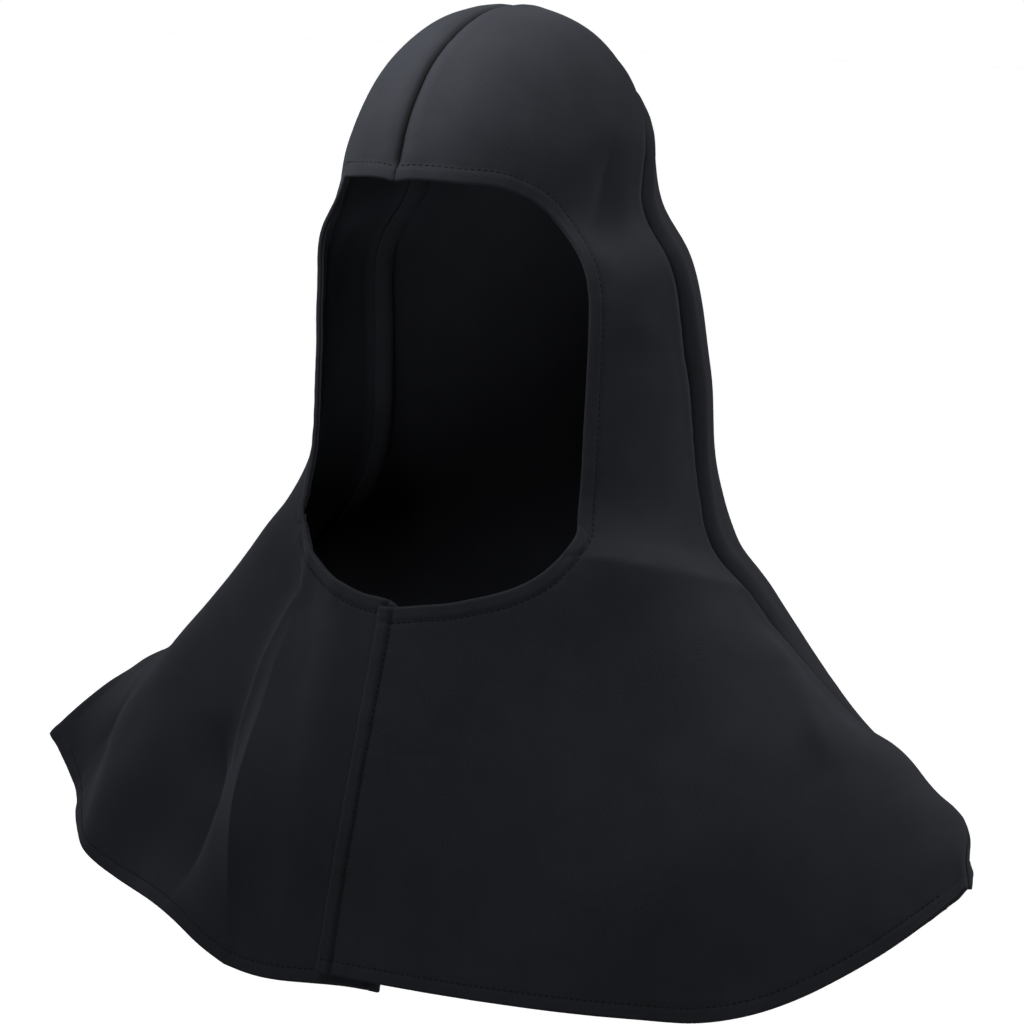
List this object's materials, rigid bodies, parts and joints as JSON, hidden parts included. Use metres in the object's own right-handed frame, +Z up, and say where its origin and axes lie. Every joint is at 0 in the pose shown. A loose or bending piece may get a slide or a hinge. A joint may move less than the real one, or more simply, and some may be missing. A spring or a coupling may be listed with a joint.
{
  "type": "welding shroud",
  "caption": "Black cloth welding shroud: a close hood with a face opening that runs down into a shoulder cape with a lapped centre front.",
  "frame": {"origin": "inside of the crown, at the top of the head that wears the shroud", "axes": "+Z up the wearer's head, -Y the way the wearer faces, +X the wearer's left"},
  "size_m": [0.5628, 0.2851, 0.4826],
  "materials": {
    "cloth": "matte black flame-resistant cotton twill",
    "tape": "matte black hook-and-loop tape"
  },
  "bodies": {
    "root": {"front_left": "cloth", "front_right": "cloth", "back_panel": "cloth", "face_hem_left": "cloth", "face_hem_right": "cloth", "neck_hem_left": "cloth", "neck_hem_right": "cloth", "cape_hem_left": "cloth", "cape_hem_right": "cloth", "cape_hem_back": "cloth", "front_edge_hem": "cloth", "closure_strip": "tape"}
  },
  "joints": []
}
